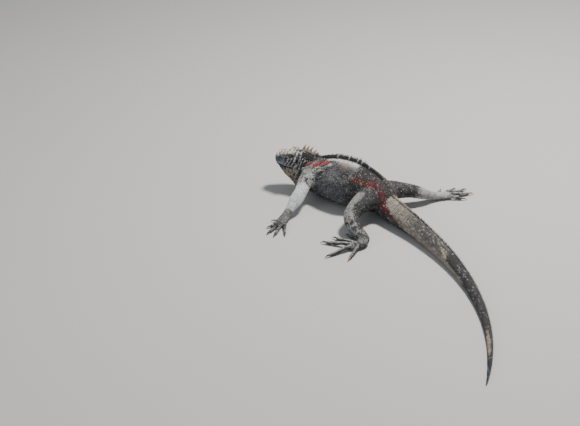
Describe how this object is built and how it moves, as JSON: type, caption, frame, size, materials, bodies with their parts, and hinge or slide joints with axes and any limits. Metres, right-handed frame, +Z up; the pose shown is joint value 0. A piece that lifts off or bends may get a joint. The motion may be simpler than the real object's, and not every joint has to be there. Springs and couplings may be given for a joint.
{
  "type": "marine iguana",
  "caption": "Life-size lizard model lying at rest, head turned to its left, spiny crest down neck, back and tail, long tail swept round to the left.",
  "frame": {"origin": "on the ground under the middle of the belly", "axes": "+X towards the head, +Y to the animal's left, +Z up"},
  "size_m": [0.7758, 0.5775, 0.1114],
  "materials": {
    "head_skin": "matte, warty",
    "trunk_skin": "matte, scaly",
    "tail_base_skin": "matte, scaly",
    "tail_skin": "matte, scaly",
    "limb_skin": "matte, scaly",
    "eye": "wet gloss"
  },
  "bodies": {
    "root": {"head": "head_skin", "eye_left": "eye", "eye_right": "eye", "neck": "trunk_skin", "torso": "trunk_skin", "pelvis": "trunk_skin", "tail_base": "tail_base_skin", "tail_middle": "tail_skin", "tail_rear": "tail_skin", "tail_tip": "tail_skin", "foot_left": "limb_skin", "foot_right": "limb_skin", "forearm_left": "limb_skin", "forearm_right": "limb_skin", "hand_left": "limb_skin", "hand_right": "limb_skin", "shank_left": "limb_skin", "shank_right": "limb_skin", "thigh_left": "limb_skin", "thigh_right": "limb_skin", "upper_arm_left": "limb_skin", "upper_arm_right": "limb_skin"}
  },
  "joints": []
}
